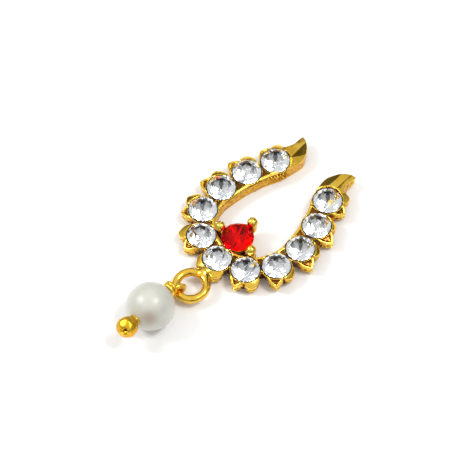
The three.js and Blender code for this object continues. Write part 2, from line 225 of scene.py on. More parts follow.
round_stones = stone_places()
pear_low, pear_high = box_mm("pear_stone")
pear_radius = (pear_high - pear_low).x / 2
pear_point = pear_radius * pear_point_share
pear_centre = Vector((0, pear_low.y + pear_radius, 0))
pear_girdle = pear_high.z - pear_crown_height


# Distance fields. Beside a slanted side a field is scaled down, to stay near a true distance.


def smooth_min(a, b, blend):
    """The nearer of two surfaces, with a fillet of about the size of blend where they meet."""
    if blend <= 0:
        return np.minimum(a, b)
    share = np.clip(0.5 + 0.5 * (b - a) / blend, 0, 1)
    return b * (1 - share) + a * share - blend * share * (1 - share)


def smooth_max(a, b, blend):
    return -smooth_min(-a, -b, blend)


def length(*parts):
    return np.sqrt(sum(part * part for part in parts))


def distance_from(place, x, y, z):
    return length(x - place.x, y - place.y, z - place.z)


def pillar_round(centre, reach, bottom, top):
    """The corners of a space round a centre, between two heights."""
    low = (centre.x - reach, centre.y - reach, bottom)
    high = (centre.x + reach, centre.y + reach, top)
    return low, high


def cube_round(centre, reach):
    return centre - Vector((reach,) * 3), centre + Vector((reach,) * 3)


class Carving:
    """A solid as a field of distances to its surface, negative inside."""

    def __init__(self, low, high, step):
        self.low = np.array(low, np.float32)
        self.step = step
        counts = [int(math.ceil((b - a) / step)) + 1 for a, b in zip(low, high)]
        self.axes = [
            np.float32(a) + np.float32(step) * np.arange(n, dtype=np.float32)
            for a, n in zip(low, counts)
        ]
        self.field = np.full(counts, 1.0, np.float32)
        self.filled = np.zeros(counts, bool)

    def window(self, low, high):
        spans = []
        for axis, a, b in zip(self.axes, low, high):
            spans.append(slice(int(np.searchsorted(axis, a)), int(np.searchsorted(axis, b))))
        x, y, z = [axis[span] for axis, span in zip(self.axes, spans)]
        return tuple(spans), (x[:, None, None], y[None, :, None], z[None, None, :])

    def add(self, low, high, shape, blend=0.04):
        spans, (x, y, z) = self.window(low, high)
        self.field[spans] = smooth_min(self.field[spans], shape(x, y, z), blend)

    def cut(self, low, high, shape, blend=0.03):
        spans, (x, y, z) = self.window(low, high)
        self.field[spans] = smooth_max(self.field[spans], -shape(x, y, z), blend)

    def roughen(self, low, high, amount):
        """Moves the surface by amount(x, y, z), in millimetres outwards."""
        spans, (x, y, z) = self.window(low, high)
        self.field[spans] = self.field[spans] - amount(x, y, z)

    def capsule(self, start, end, radius, blend=0.04):
        start = Vector(start)
        end = Vector(end)
        reach = radius + 0.3
        low = [min(a, b) - reach for a, b in zip(start, end)]
        high = [max(a, b) + reach for a, b in zip(start, end)]
        span = end - start
        span_squared = max(span.length_squared, 1e-9)

        def shape(x, y, z):
            along = (x - start.x) * span.x + (y - start.y) * span.y + (z - start.z) * span.z
            share = np.clip(along / span_squared, 0, 1)
            dx = x - start.x - share * span.x
            dy = y - start.y - share * span.y
            dz = z - start.z - share * span.z
            return length(dx, dy, dz) - radius

        self.add(low, high, shape, blend)

    def ball(self, centre, radius, blend=0.04):
        self.capsule(centre, centre, radius, blend)

    def wire(self, path, radius):
        for start, end in zip(path, path[1:]):
            self.capsule(start, end, radius, 0.02)

    def fill(self, low, high, shape):
        """Counts a stone's body as solid, so that the seam round it is a recess too and gets
        painted shade.
        """
        spans, (x, y, z) = self.window(low, high)
        self.filled[spans] |= shape(x, y, z) < 0

    def mark_recesses(self, piece, reach):
        """Stores how much of the space within reach of each point is solid, 0.5 on a flat. The
        gilt paints shade and highlight from it.
        """
        solid = ((self.field < 0) | self.filled).astype(np.float32)
        width = max(1, round(reach / self.step))
        for _ in range(2):
            for axis in range(3):
                solid = box_blur(solid, width, axis)
        count = len(piece.data.vertices)
        places = np.empty(count * 3, np.float32)
        piece.data.vertices.foreach_get("co", places)
        cells = np.rint((places.reshape(-1, 3) / MM - self.low) / self.step).astype(int)
        cells = np.clip(cells, 0, np.array(solid.shape) - 1)
        marks = piece.data.attributes.new("recess", "FLOAT", "POINT")
        marks.data.foreach_set("value", solid[tuple(cells.T)])

    def object(self, name):
        """The surface as a Blender mesh object, thinned to the triangles that a piece may have."""
        grid = openvdb.FloatGrid(1.0)
        grid.copyFromArray(self.field.astype(np.float64))
        points, triangles, quads = grid.convertToPolygons(isovalue=0.0, adaptivity=0.0)
        places = (points * self.step + self.low) * MM
        faces = [tuple(face[::-1]) for face in quads.tolist()]
        faces += [tuple(face[::-1]) for face in triangles.tolist()]
        mesh = bpy.data.meshes.new(name)
        mesh.from_pydata(places.tolist(), [], faces)
        made = add_object(name, mesh)
        count = sum(len(face) - 2 for face in faces)
        if count > most_triangles:
            thin(made, most_triangles / count)
        shade_smooth(made)
        self.mark_recesses(made, recess_reach)
        return made


def box_blur(values, width, axis):
    """Each value's mean over the cells within width of it along an axis."""
    padding = [(0, 0)] * values.ndim
    padding[axis] = (width + 1, width)
    sums = np.cumsum(np.pad(values, padding, mode="edge"), axis=axis, dtype=np.float32)
    count = values.shape[axis]
    above = np.take(sums, np.arange(2 * width + 1, 2 * width + 1 + count), axis=axis)
    below = np.take(sums, np.arange(count), axis=axis)
    return (above - below) / (2 * width + 1)


def add_object(name, mesh):
    made = bpy.data.objects.new(name, mesh)
    bpy.context.scene.collection.objects.link(made)
    return made


def thin(piece, ratio):
    """Collapses the flattest edges of a mesh until this share of its triangles is left."""
    modifier = piece.modifiers.new("thin", "DECIMATE")
    modifier.ratio = ratio
    graph = bpy.context.evaluated_depsgraph_get()
    thinned = bpy.data.meshes.new_from_object(piece.evaluated_get(graph))
    piece.modifiers.clear()
    piece.data = thinned


def shade_smooth(piece):
    piece.data.polygons.foreach_set("use_smooth", [True] * len(piece.data.polygons))
    piece.data.update()


def wavy_noise(seed, wavelength, waves=14):
    """A smooth random height of about 1, as a sum of waves in random directions."""
    generator = np.random.default_rng(seed)
    directions = generator.normal(size=(waves, 3))
    directions /= np.linalg.norm(directions, axis=1)[:, None]
    numbers = 2 * math.pi / (wavelength * generator.uniform(0.7, 1.6, waves))
    phases = generator.uniform(0, 2 * math.pi, waves)

    def height(x, y, z):
        total = 0
        for (dx, dy, dz), number, phase in zip(directions, numbers, phases):
            total = total + np.sin(number * (dx * x + dy * y + dz * z) + phase)
        return total / math.sqrt(waves / 2)

    return height


# The casting


def row_coordinates(x, y):
    """Distance along the row from the bottom stone and outward from it, alike on both arms."""
    x = np.abs(x)
    bend_turn = np.arctan2(x, bend_radius - y)
    bend_out = length(x, bend_radius - y) - bend_radius
    arm_x = (bend_radius - arm_radius) * math.sin(bend_angle)
    arm_y = bend_radius - (bend_radius - arm_radius) * math.cos(bend_angle)
    arm_turn = np.arctan2(x - arm_x, arm_y - y)
    arm_out = length(x - arm_x, arm_y - y) - arm_radius
    on_bend = bend_turn < bend_angle
    on_arm = bend_radius * bend_angle + arm_radius * (arm_turn - bend_angle)
    along = np.where(on_bend, bend_radius * bend_turn, on_arm)
    return along, np.where(on_bend, bend_out, arm_out)


def row_normal(place):
    """The outward direction at a stone, from the arc that it stands on."""
    x = abs(place.x)
    along, _ = row_coordinates(np.float64(x), np.float64(place.y))
    turn = along / bend_radius
    if turn > bend_angle:
        turn = bend_angle + (along - bend_radius * bend_angle) / arm_radius
    side = -1 if place.x < -0.1 else 1
    return Vector((side * math.sin(turn), -math.cos(turn)))


end_centre = round_stones[-1][0]
row_end = float(row_coordinates(np.float64(end_centre.x), np.float64(end_centre.y))[0])


def carve_band(casting):
    """The back plate and the smooth wall along the inside of the horseshoe."""
    low = (-6.2, -1.6, -0.2)
    high = (6.2, 11.6, 1.7)

    def plate(x, y, z):
        along, out = row_coordinates(x, y)
        sides = np.maximum(-inner_edge + 0.04 - out, out - floor_reach)
        return np.maximum(np.maximum(sides, along - row_end - band_overrun), z - floor_height)

    def wall(x, y, z):
        along, out = row_coordinates(x, y)
        middle = -inner_edge + rim_width / 2
        from_side = np.abs(out - middle) - (rim_width / 2 - rim_rounding)
        from_top = z - (rim_height - rim_rounding)
        outside = length(np.maximum(from_side, 0), np.maximum(from_top, 0)) - rim_rounding
        inside = np.minimum(np.maximum(from_side, from_top), 0)
        return np.maximum(outside + inside, along - row_end - band_overrun)

    casting.add(low, high, plate, 0)
    casting.add(low, high, wall, 0.06)


def carve_cup(casting, centre):
    low, high = pillar_round(centre, 1.6, -0.2, 1.7)

    def cup(x, y, z):
        out = length(x - centre.x, y - centre.y)
        wall = cup_foot_radius + (cup_radius - cup_foot_radius) * np.clip(z / cup_height, 0, 1)
        return smooth_max(0.97 * (out - wall), z - cup_height, 0.07)

    casting.add(low, high, cup, 0.05)


def carve_seat(casting, centre):
    """The round bore and the cone under it that a stone drops into."""
    low, high = pillar_round(centre, 1.5, 0, 2.7)

    def bore(x, y, z):
        out = length(x - centre.x, y - centre.y)
        cone = (out - bore_radius * (z - seat_tip) / (bore_floor - seat_tip)) * 0.6
        return np.where(z > bore_floor, out - bore_radius, cone)

    def stone(x, y, z):
        return np.maximum(length(x - centre.x, y - centre.y) - bore_radius, z - cup_height - 0.1)

    casting.cut(low, high, bore, 0.02)
    casting.fill(low, high, stone)


def petal_outline(kind, reach):
    """A petal's corners from its cup's centre: along the row and outward."""
    tip, before, after, power = petal_kinds[kind]
    steps = 8
    root = cup_foot_radius - 0.1
    shoulder = cup_radius - 0.04
    outline = [(tip - before, root)]
    for step in range(-steps, steps + 1):
        share = step / steps
        turn = tip + share * (after if step > 0 else before)
        swell = (1 - abs(share)) ** power
        outline.append((turn, shoulder + (reach + 0.04) * swell))
    outline.append((tip + after, root))
    corners = []
    for turn, distance in outline:
        angle = math.radians(turn)
        corners.append((distance * math.sin(angle), distance * math.cos(angle)))
    return corners


def carve_petal(casting, centre, normal, sign, kind, reach):
    """A petal in two layers. The pointed kind has a raised edge round a hollow."""
    low, high = pillar_round(centre, 2.4, -0.2, 1.7)
    outline = petal_outline(kind, reach)
    depth = petal_hollow if kind == "pointed" else 0

    def petal(x, y, z):
        dx = x - centre.x
        dy = y - centre.y
        out = dx * normal.x + dy * normal.y
        along = sign * (dy * normal.x - dx * normal.y)
        plan = polygon_distance(along, out, outline)
        share = np.clip((length(dx, dy) - cup_radius) / reach, 0, 1)
        crest = cup_height + 0.02 - (cup_height - petal_tip_height) * share
        inward = np.clip((-plan - petal_edge_width * 0.5) / petal_edge_width, 0, 1)
        top = z - crest + depth * inward**2 * (3 - 2 * inward)
        from_line = (z - petal_layer_line - petal_groove_rise * share) / petal_groove_width
        below = np.clip(1 - z / petal_layer_line, 0, 1)
        side = plan + petal_layer_groove * np.exp(-(from_line**2)) + petal_undercut * below
        return smooth_max(side, top * 0.85, 0.05)

    casting.add(low, high, petal, 0.03)


def carve_petals(casting):
    bottom = round_stones[stones_per_arm][0]
    for side, sign in (("left", -1), ("right", 1)):
        carve_petal(casting, bottom, row_normal(bottom), sign, "leaf", bottom_leaf_reach)
        for kind, reaches in petal_reaches[side].items():
            for place, reach in enumerate(reaches, 1):
                centre = round_stones[stones_per_arm + sign * place][0]
                carve_petal(casting, centre, row_normal(centre), sign, kind, reach)


# A horn's outline from its end stone's centre, along the row and outward from it, in shares
# of its length and half-width.
horn_inner_edge = [(-0.3, -1.0), (-0.04, -1.0), (0.2, -0.88), (0.42, -0.74), (0.7, -0.52)]
horn_cheek = [(0.86, -0.1), (0.96, 0.4), (1.0, 0.9)]
horn_outer_edge = [(0.99, 1.26), (0.9, 1.2), (0.74, 0.96), (0.57, 0.82), (-0.02, 0.84)]

# The flats filed on top of each horn, each a plane through three corners. A corner is a place
# in the same shares and a height as a share of the horn's. The two horns were filed by hand and
# aren't alike.
horn_flats = {
    "left": [
        [(0.37, -0.23, 1.0), (0.94, 0.68, 0.76), (0.57, 0.82, 0.78)],
        [(0.37, -0.23, 1.0), (0.94, 0.68, 0.76), (0.83, -0.19, 0.78)],
        [(0.37, -0.23, 1.0), (0.83, -0.19, 0.78), (0.44, -0.74, 0.81)],
    ],
    "right": [
        [(0.43, -0.17, 1.0), (0.88, 0.31, 0.8), (0.44, -0.74, 0.92)],
        [(0.43, -0.17, 1.0), (0.88, 0.31, 0.8), (0.39, 0.35, 1.0)],
        [(0.39, 0.35, 1.0), (0.97, 0.95, 0.74), (0.52, 0.84, 0.8)],
    ],
}


def horn_point(along, out):
    return along * horn_length, out * horn_half_width


def polygon_distance(x, y, corners):
    """Distance to an outline in the plane, negative inside."""
    nearest = None
    inside = None
    for (ax, ay), (bx, by) in zip(corners, corners[1:] + corners[:1]):
        ex = bx - ax
        ey = by - ay
        share = np.clip(((x - ax) * ex + (y - ay) * ey) / (ex * ex + ey * ey), 0, 1)
        gap = length(x - ax - share * ex, y - ay - share * ey)
        crosses = ((ay > y) != (by > y)) & (x < (bx - ax) * (y - ay) / (by - ay + 1e-12) + ax)
        nearest = gap if nearest is None else np.minimum(nearest, gap)
        inside = crosses if inside is None else inside ^ crosses
    return np.where(inside, -nearest, nearest)


def rounded_outline(points, steps=4):
    """More points on a smooth curve through an open row of them."""
    result = []
    for i in range(len(points) - 1):
        before = points[max(i - 1, 0)]
        after = points[min(i + 2, len(points) - 1)]
        for step in range(steps):
            t = step / steps
            place = []
            for a, b, c, d in zip(before, points[i], points[i + 1], after):
                slope = (c - a) / 2
                next_slope = (d - b) / 2
                place.append(
                    (2 * t**3 - 3 * t**2 + 1) * b
                    + (t**3 - 2 * t**2 + t) * slope
                    + (3 * t**2 - 2 * t**3) * c
                    + (t**3 - t**2) * next_slope
                )
            result.append(tuple(place))
    result.append(tuple(points[-1]))
    return result


def flat_through(corners):
    """Slopes and height of the flat through three of the horn's corners."""
    rows = [[*horn_point(along, out), 1] for along, out, _ in corners]
    heights = [height * horn_root_height for *_, height in corners]
    return np.linalg.solve(np.array(rows), np.array(heights))


def carve_horn(casting, side):
    outline = rounded_outline([horn_point(*p) for p in horn_inner_edge + horn_cheek])
    outline += rounded_outline([horn_point(*p) for p in horn_outer_edge])
    flats = [flat_through(corners) for corners in horn_flats[side]]
    sign = -1 if side == "left" else 1
    end = round_stones[0 if side == "left" else -1][0]
    normal = row_normal(end)
    forward = Vector((-normal.y, normal.x)) * sign
    low = (min(0.8 * sign, 4.6 * sign), 8.6, -0.2)
    high = (max(0.8 * sign, 4.6 * sign), 14.0, 2.0)

    def horn(x, y, z):
        along = (x - end.x) * forward.x + (y - end.y) * forward.y
        out = (x - end.x) * normal.x + (y - end.y) * normal.y
        plan = polygon_distance(along, out, outline)
        top = z - horn_root_height
        for slope_along, slope_out, height in flats:
            flat = z - (slope_along * along + slope_out * out + height)
            top = smooth_max(top, flat, 0.012)
        past_start = along / horn_length - horn_rise_start
        rise = np.clip(past_start / (1 - horn_rise_start), 0, 1)
        body = smooth_max(plan, 0.95 * top, 0.03)
        return smooth_max(body, 0.85 * (horn_tip_underside * rise**1.3 - z), 0.04)

    casting.add(low, high, horn, 0.03)


def pear_outline(angle):
    """Radius of the pear stone in a direction from its centre, with its point at half a turn."""
    from_point = np.abs(np.arctan2(np.sin(angle - math.pi), np.cos(angle - math.pi)))
    tangent_angle = math.acos(pear_radius / pear_point)
    straight = pear_radius / np.cos(np.clip(tangent_angle - from_point, 0, 1.5))
    return np.where(from_point >= tangent_angle, pear_radius, straight)


def carve_collet(casting):
    low = (-2.0, pear_centre.y - 2.0, -0.2)
    high = (2.0, pear_centre.y + 2.4, 2.0)
    top = pear_girdle - 0.02

    def collet(x, y, z):
        dy = y - pear_centre.y
        out = length(x, dy)
        rise = np.clip(z / top, 0, 1)
        share = collet_foot_share + (collet_shoulder_share - collet_foot_share) * rise
        edge = pear_outline(np.arctan2(x, -dy)) * share
        return smooth_max(0.85 * (out - edge), z - top, 0.05)

    casting.add(low, high, collet, 0.08)


def carve_pear_seat(casting):
    low = (-1.6, pear_centre.y - 1.6, 0)
    high = (1.6, pear_centre.y + 2.0, 2.7)
    tip = pear_low.z - 0.06
    girdle = pear_girdle - 0.09

    def hollow(x, y, z):
        dy = y - pear_centre.y
        out = length(x, dy)
        edge = pear_outline(np.arctan2(x, -dy)) + pear_clearance
        below = 0.6 * (out - edge * (z - tip) / (girdle - tip))
        rise = np.clip((z - pear_girdle - 0.03) / pear_crown_height, 0, 1)
        crown = 0.8 * (out - edge * (1 - (1 - pear_table_share) * rise))
        return np.where(z > girdle, np.maximum(crown, z - pear_high.z - 0.04), below)

    def stone(x, y, z):
        dy = y - pear_centre.y
        edge = pear_outline(np.arctan2(x, -dy)) + pear_clearance
        return np.maximum(length(x, dy) - edge, np.abs(z - pear_girdle) - 0.1)

    casting.cut(low, high, hollow, 0.02)
    casting.fill(low, high, stone)


def carve_prong(casting, edge, grip, across, along, drop=0):
    """A prong bows out beside the pear stone and ends in a ball over its edge."""
    ball_at = edge + prong_ball_radius - grip

    def point(reach, z):
        return (across * reach, pear_centre.y + along * reach - drop, z)

    foot = point(ball_at * prong_foot_share, 0.1)
    elbow = point(ball_at + prong_stand_off, pear_girdle - prong_ball_radius)
    low_elbow = point(ball_at + prong_stand_off * 0.6, pear_girdle * 0.42)
    head = point(ball_at, pear_girdle + prong_ball_radius * 0.3)
    casting.capsule(foot, low_elbow, prong_wire_radius, 0.1)
    casting.capsule(low_elbow, elbow, prong_wire_radius, 0.1)
    casting.capsule(elbow, head, prong_wire_radius * 0.9, 0.08)
    casting.ball(head, prong_ball_radius, 0.05)


def carve_ring(casting):
    """The plain ring and the lumps of solder that hold it to the bottom cup."""
    reach = ring_mean_radius + ring_wire_radius + 0.2
    low, high = pillar_round(ring_centre, reach, ring_centre.z - 0.8, ring_centre.z + 0.8)
    dent = wavy_noise(5, 1.4)

    def ring(x, y, z):
        dy = y - ring_centre.y
        dz = z - ring_centre.z
        in_plane = dy * math.cos(ring_tilt) + dz * math.sin(ring_tilt)
        above = dz * math.cos(ring_tilt) - dy * math.sin(ring_tilt)
        round_it = length(x - ring_centre.x, in_plane) - ring_mean_radius
        return length(round_it, above) - ring_wire_radius + 0.012 * dent(x, y, z)

    casting.add(low, high, ring, 0.05)
    root = ring_centre + Vector((0, ring_mean_radius + 0.26, 0.12))
    for offset, radius, blend in solder_lumps:
        casting.ball(root + Vector(offset), radius, blend)


def roughen_walls(casting):
    """Cast texture on the side walls, and a softer one all over."""
    coarse = wavy_noise(11, 0.42)
    fine = wavy_noise(12, 0.2)
    soft = wavy_noise(13, 1.1)
    first_grain = row_end - 1.6

    def walls(x, y, z):
        along, out = row_coordinates(x, y)
        below_rim = np.clip((rim_height - 0.12 - z) / 0.15, 0, 1)
        on_inside = np.exp(-(((out + inner_edge) / 0.18) ** 2))
        on_outside = np.clip((out - 0.3) / 0.4, 0, 1) * np.clip((1.0 - z) / 0.2, 0, 1)
        grains = np.clip((along - first_grain) / 0.6, 0, 1)
        grains = grains * np.clip((row_end + 1.5 - along) / 0.4, 0, 1)
        bead = np.cos(2 * math.pi * along / grain_length)
        bead = bead * np.cos(2 * math.pi * (z - grain_row_height) / grain_height)
        rough = coarse_depth * coarse(x, y, z) + fine_depth * fine(x, y, z)
        from_line = (z - rim_height + rim_line_drop) / rim_line_width
        line = rim_line_depth * np.exp(-(from_line**2))
        inside = on_inside * (below_rim * (rough + grain_depth * grains * bead) - line)
        return inside + on_outside * rough

    low = (-6.6, -2.2, 0.05)
    casting.roughen(low, (6.6, 13.9, 1.5), walls)
    casting.roughen(low, (6.6, 13.9, 2.4), lambda x, y, z: soft_depth * soft(x, y, z))


def make_casting(material):
    casting = Carving((-6.7, -5.1, -0.18), (6.7, 14.1, 2.6), voxel)
    carve_band(casting)
    for centre, *_ in round_stones:
        carve_cup(casting, centre)
    carve_petals(casting)
    carve_horn(casting, "left")
    carve_horn(casting, "right")
    roughen_walls(casting)
    carve_collet(casting)
    for across in (1, -1):
        carve_prong(casting, pear_radius, side_prong_grip, across, 0, side_prong_drop)
    carve_prong(casting, pear_point, point_prong_grip, 0, 1)
    carve_ring(casting)
    for centre, *_ in round_stones:
        carve_seat(casting, centre)
    carve_pear_seat(casting)
    casting.field = np.maximum(casting.field, -casting.axes[2][None, None, :])
    piece = casting.object("casting")
    dress(piece, material)
    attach(piece, "root")
    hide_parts("crescent_setting")


# Cut stones


def cut_stone(name, outline, centre, girdle, crown, pavilion, table_share, spin):
    """A brilliant over an outline: table, star, kite and girdle facets, and a pavilion.

    The crown takes the first material and the foiled pavilion the second.
    """
    sides = 8
    turn = 2 * math.pi / sides
    middle_share = (1 + table_share) / 2
    lower_share = 0.45
    flat = math.cos(turn / 2)
    middle_height = crown * (1 - (middle_share * flat - table_share) / (1 - table_share))
    lower_depth = pavilion * (1 - lower_share * flat)
    points = []

    def ring(count, offset, share, z):
        first = len(points)
        for k in range(count):
            angle = spin + (k + offset) * 2 * math.pi / count
            reach = float(outline(angle)) * share
            x = centre.x + reach * math.sin(angle)
            y = centre.y - reach * math.cos(angle)
            points.append((x, y, girdle + z))
        return lambda k: first + k % count

    table = ring(sides, 0, table_share, crown)
    middle = ring(sides, 0.5, middle_share, middle_height)
    top = ring(2 * sides, 0, 1, 0)
    bottom = ring(2 * sides, 0, 1, -girdle_thickness)
    lower = ring(sides, 0.5, lower_share, -lower_depth - girdle_thickness)
    points.append((centre.x, centre.y, girdle - pavilion - girdle_thickness))
    culet = len(points) - 1
    crown_faces = [tuple(table(k) for k in range(sides))]
    foil_faces = []
    for k in range(sides):
        crown_faces.append((table(k), middle(k), table(k + 1)))
        crown_faces.append((table(k), middle(k - 1), top(2 * k)))
        crown_faces.append((table(k), top(2 * k), middle(k)))
        crown_faces.append((middle(k), top(2 * k), top(2 * k + 1)))
        crown_faces.append((middle(k), top(2 * k + 1), top(2 * k + 2)))
        foil_faces.append((lower(k), bottom(2 * k + 1), bottom(2 * k)))
        foil_faces.append((lower(k), bottom(2 * k + 2), bottom(2 * k + 1)))
        foil_faces.append((culet, bottom(2 * k), lower(k - 1)))
        foil_faces.append((culet, lower(k), bottom(2 * k)))
    for k in range(2 * sides):
        crown_faces.append((top(k), bottom(k), bottom(k + 1), top(k + 1)))
    mesh = bpy.data.meshes.new(name)
    mesh.from_pydata([tuple(c * MM for c in p) for p in points], [], crown_faces + foil_faces)
    for number, face in enumerate(mesh.polygons):
        face.material_index = 0 if number < len(crown_faces) else 1
    return add_object(name, mesh)


def make_round_stones(crown_material, foil_material):
    generator = np.random.default_rng(4)
    for number, (centre, radius, top) in enumerate(round_stones, 1):
        piece = cut_stone(
            f"stone_{number:02d}",
            lambda angle: radius,
            centre,
            girdle=top - stone_crown_height,
            crown=stone_crown_height,
            pavilion=stone_pavilion_depth,
            table_share=stone_table_share,
            spin=generator.uniform(0, math.pi / 4),
        )
        dress(piece, crown_material, foil_material)
        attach(piece, "root")
        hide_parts(f"round_stone_{number:02d}")


def make_pear_stone(crown_material, foil_material):
    piece = cut_stone(
        "red_stone",
        pear_outline,
        pear_centre,
        girdle=pear_girdle,
        crown=pear_crown_height,
        pavilion=pear_girdle - girdle_thickness - pear_low.z,
        table_share=pear_table_share,
        spin=math.pi / 8,
    )
    dress(piece, crown_material, foil_material)
    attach(piece, "root")
    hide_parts("pear_stone")


# Head pin and pearl


def pin_axis():
    """The pearl's centre, the direction from it to the pin's ball, and how far the ball is."""
    low, high = box_mm("pearl")
    centre = (low + high) / 2
    _, pin_high = box_mm("head_pin")
    reach = (high - low).x / 2 + pin_ball_gap + pin_ball_radius
    rise = math.asin((pin_high.z - pin_ball_radius - centre.z) / reach)
    flat = math.cos(rise)
    away = Vector((-math.sin(pin_yaw) * flat, -math.cos(pin_yaw) * flat, math.sin(rise)))
    return centre, away, reach


pearl_centre, pin_direction, ball_reach = pin_axis()


def carve_pin_flare(carving, ball_centre):
    """The ball's flare, cut off where the pearl sits on it."""
    flare_at = pearl_centre + pin_direction * (pearl_radius - 0.02)
    carving.capsule(flare_at, flare_at.lerp(ball_centre, 0.5), pin_flare_radius, 0.2)

    def round_pearl(x, y, z):
        return distance_from(pearl_centre, x, y, z) - pearl_radius - 0.03

    carving.cut(*cube_round(pearl_centre, pearl_radius + 0.3), round_pearl, 0.03)


def carve_pin_ball(carving, ball_centre):
    """The ball at the pin's end, with a few flats hammered on it."""
    generator = np.random.default_rng(9)
    flats = generator.normal(size=(pin_flats, 3))
    flats /= np.linalg.norm(flats, axis=1)[:, None]
    dent = wavy_noise(21, 0.7)

    def ball(x, y, z):
        dx = x - ball_centre.x
        dy = y - ball_centre.y
        dz = z - ball_centre.z
        surface = length(dx, dy, dz) - pin_ball_radius
        for fx, fy, fz in flats:
            flat = fx * dx + fy * dy + fz * dz - pin_ball_radius * pin_flat_share
            surface = smooth_max(surface, flat, 0.08)
        return surface - 0.01 * dent(x, y, z)

    carving.add(*cube_round(ball_centre, pin_ball_radius + 0.2), ball, 0.12)


def carve_pin_dent(carving, ball_centre):
    """A shallow dent low on the side of the ball that the photo shows."""
    towards = direction(view_azimuth - 24, view_elevation - 22)
    dent_at = ball_centre + towards * pin_ball_radius * pin_dent_reach
    folds = wavy_noise(23, 0.3)

    def dent(x, y, z):
        return distance_from(dent_at, x, y, z) - pin_dent_radius + 0.045 * folds(x, y, z)

    carving.cut(*cube_round(dent_at, pin_ball_radius + 0.2), dent, 0.04)


def eye_path(neck):
    """The wire's way from the neck round the soldered ring's wire, and most of the way back."""
    away = Vector((0, -math.cos(ring_tilt), -math.sin(ring_tilt)))
    centre = ring_centre + away * ring_mean_radius * math.cos(eye_swing)
    centre += Vector((-ring_mean_radius * math.sin(eye_swing), 0, eye_lift))
    to_neck = (neck - centre).normalized()
    tangent = Vector((0, 0, 1)).cross((centre - ring_centre).normalized())
    normal = (tangent - to_neck * tangent.dot(to_neck)).normalized()
    across = normal.cross(to_neck)
    leaves = math.acos(eye_radius / (neck - centre).length)
    steps = 40
    path = []
    for step in range(steps + 1):
        angle = leaves + (2 * math.pi - 2 * leaves) * step / steps
        place = centre + to_neck * eye_radius * math.cos(angle)
        path.append(place + across * eye_radius * math.sin(angle))
    path.append(path[-1].lerp(neck, 0.8))
    return path


def wrap_path(neck):
    """The wire's turns round the neck."""
    side = pin_direction.orthogonal().normalized()
    other = pin_direction.cross(side)
    steps = 28
    path = []
    for step in range(steps * wrap_turns + 1):
        turn = 2 * math.pi * step / steps
        rise = wrap_wire_radius * 1.9 * (step / steps - 0.5)
        place = neck - pin_direction * rise
        path.append(place + (side * math.cos(turn) + other * math.sin(turn)) * wrap_radius)
    return path


def make_head_pin(material):
    low, high = box_mm("head_pin")
    margin = Vector((0.3,) * 3)
    carving = Carving(low - margin, high + margin, pin_voxel)
    ball_centre = pearl_centre + pin_direction * ball_reach
    neck = pearl_centre - pin_direction * (pearl_radius + neck_length)
    carve_pin_flare(carving, ball_centre)
    carve_pin_ball(carving, ball_centre)
    carve_pin_dent(carving, ball_centre)
    carving.wire([ball_centre, neck] + eye_path(neck), pin_radius)
    carving.wire(wrap_path(neck), wrap_wire_radius)
    piece = carving.object("head_pin_wire")
    dress(piece, material)
    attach(piece, "root")
    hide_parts("head_pin")


def make_pearl(material):
    """The drilled pearl, turned as one profile round its hole."""
    hole = pin_radius + 0.05
    mouth = math.asin(hole / pearl_radius)
    rings = 72
    sides = 144
    profile = []
    for ring in range(rings + 1):
        angle = mouth + (math.pi - 2 * mouth) * ring / rings
        profile.append((pearl_radius * math.sin(angle), -pearl_radius * math.cos(angle)))
    turn = Vector((0, 0, 1)).rotation_difference(pin_direction)
    points = []
    for out, up in profile:
        for side in range(sides):
            angle = 2 * math.pi * side / sides
            place = Vector((out * math.cos(angle), out * math.sin(angle), up))
            points.append((pearl_centre + turn @ place) * MM)
    faces = []
    count = len(profile)
    for ring in range(count):
        for side in range(sides):
            following = (side + 1) % sides
            row = ring * sides
            next_row = (ring + 1) % count * sides
            faces.append((row + side, row + following, next_row + following, next_row + side))
    mesh = bpy.data.meshes.new("pearl_bead")
    mesh.from_pydata(points, [], faces)
    piece = add_object("pearl_bead", mesh)
    shade_smooth(piece)
    dress(piece, material)
    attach(piece, "root")
    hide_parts("pearl")


# Materials


def dress(piece, *materials):
    for material in materials:
        piece.data.materials.append(material)


